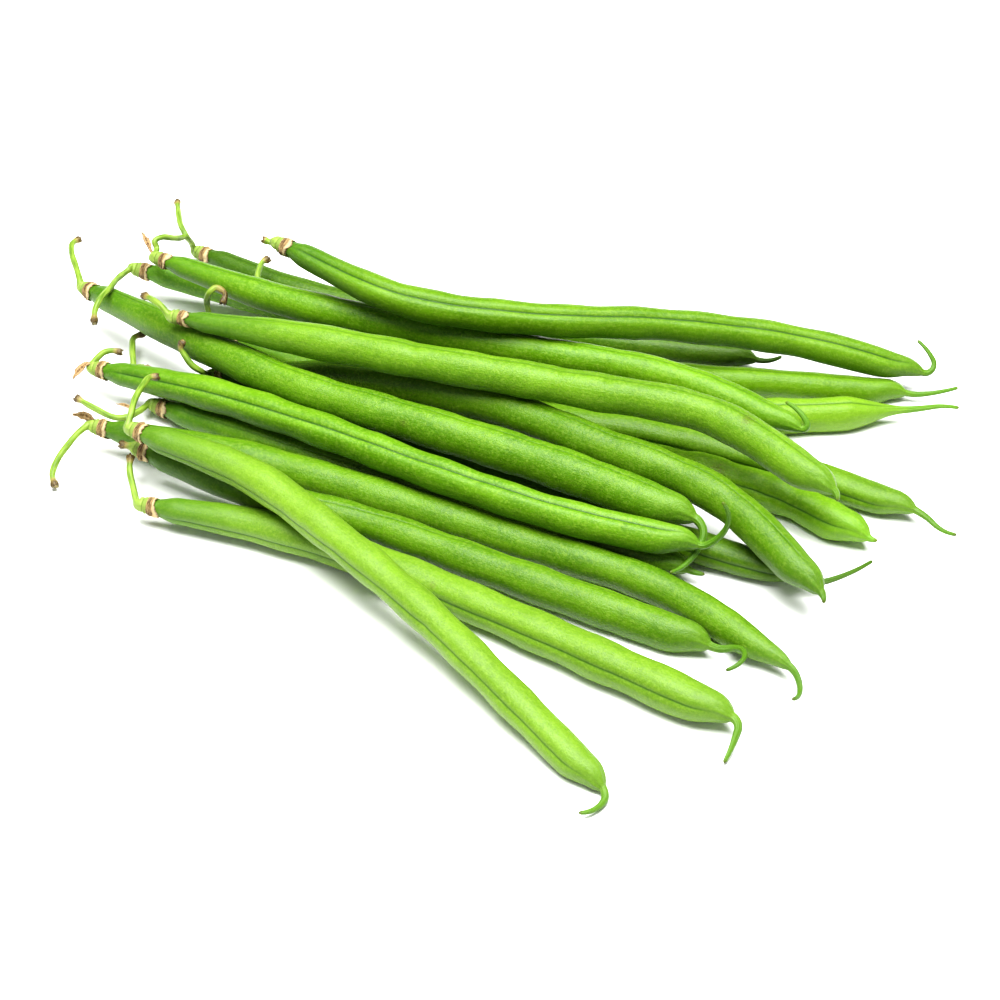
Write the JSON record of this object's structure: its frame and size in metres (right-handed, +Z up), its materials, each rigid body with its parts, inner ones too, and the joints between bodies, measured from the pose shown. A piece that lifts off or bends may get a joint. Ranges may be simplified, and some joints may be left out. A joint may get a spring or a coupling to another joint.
{
  "type": "green bean bundle",
  "caption": "Loose lying bundle of fresh whole green beans with dry collars, curled stalks and thin curved beaks.",
  "frame": {"origin": "centre of the heap's outline on the surface it lies on", "axes": "+X from the stalks towards the beaks, +Y away from the front bean, +Z up from the surface"},
  "size_m": [0.2149, 0.1959, 0.0315],
  "materials": {
    "pod": "satin, finely mottled fresh green skin",
    "calyx": "dry, papery tan",
    "stalk": "satin pale green with brown dried ends",
    "flake": "dry, papery brown"
  },
  "bodies": {
    "root": {"pod_01": "pod", "calyx_01": "calyx", "stalk_01_and_15": "stalk", "pod_02": "pod", "calyx_02": "calyx", "stalk_02": "stalk", "pod_03": "pod", "calyx_03": "calyx", "stalk_03": "stalk", "pod_04": "pod", "calyx_04": "calyx", "stalk_04": "stalk", "pod_05": "pod", "calyx_05": "calyx", "stalk_05": "stalk", "pod_06": "pod", "calyx_06": "calyx", "stalk_06": "stalk", "pod_07": "pod", "calyx_07": "calyx", "stalk_07": "stalk", "pod_08": "pod", "calyx_08": "calyx", "stalk_08": "stalk", "pod_09": "pod", "calyx_09": "calyx", "stalk_09": "stalk", "pod_10": "pod", "calyx_10": "calyx", "stalk_10": "stalk", "pod_11": "pod", "calyx_11": "calyx", "stalk_11": "stalk", "pod_12": "pod", "calyx_12": "calyx", "stalk_12": "stalk", "pod_13": "pod", "calyx_13": "calyx", "stalk_13": "stalk", "pod_14": "pod", "calyx_14": "calyx", "stalk_14": "stalk", "pod_15": "pod", "calyx_15": "calyx", "pod_16": "pod", "calyx_16": "calyx", "stalk_16": "stalk", "pod_17": "pod", "calyx_17": "calyx", "stalk_17": "stalk", "pod_18": "pod", "calyx_18": "calyx", "stalk_18": "stalk", "flake_15": "flake", "flake_14": "flake", "flake_11": "flake", "flake_09": "flake"}
  },
  "joints": []
}
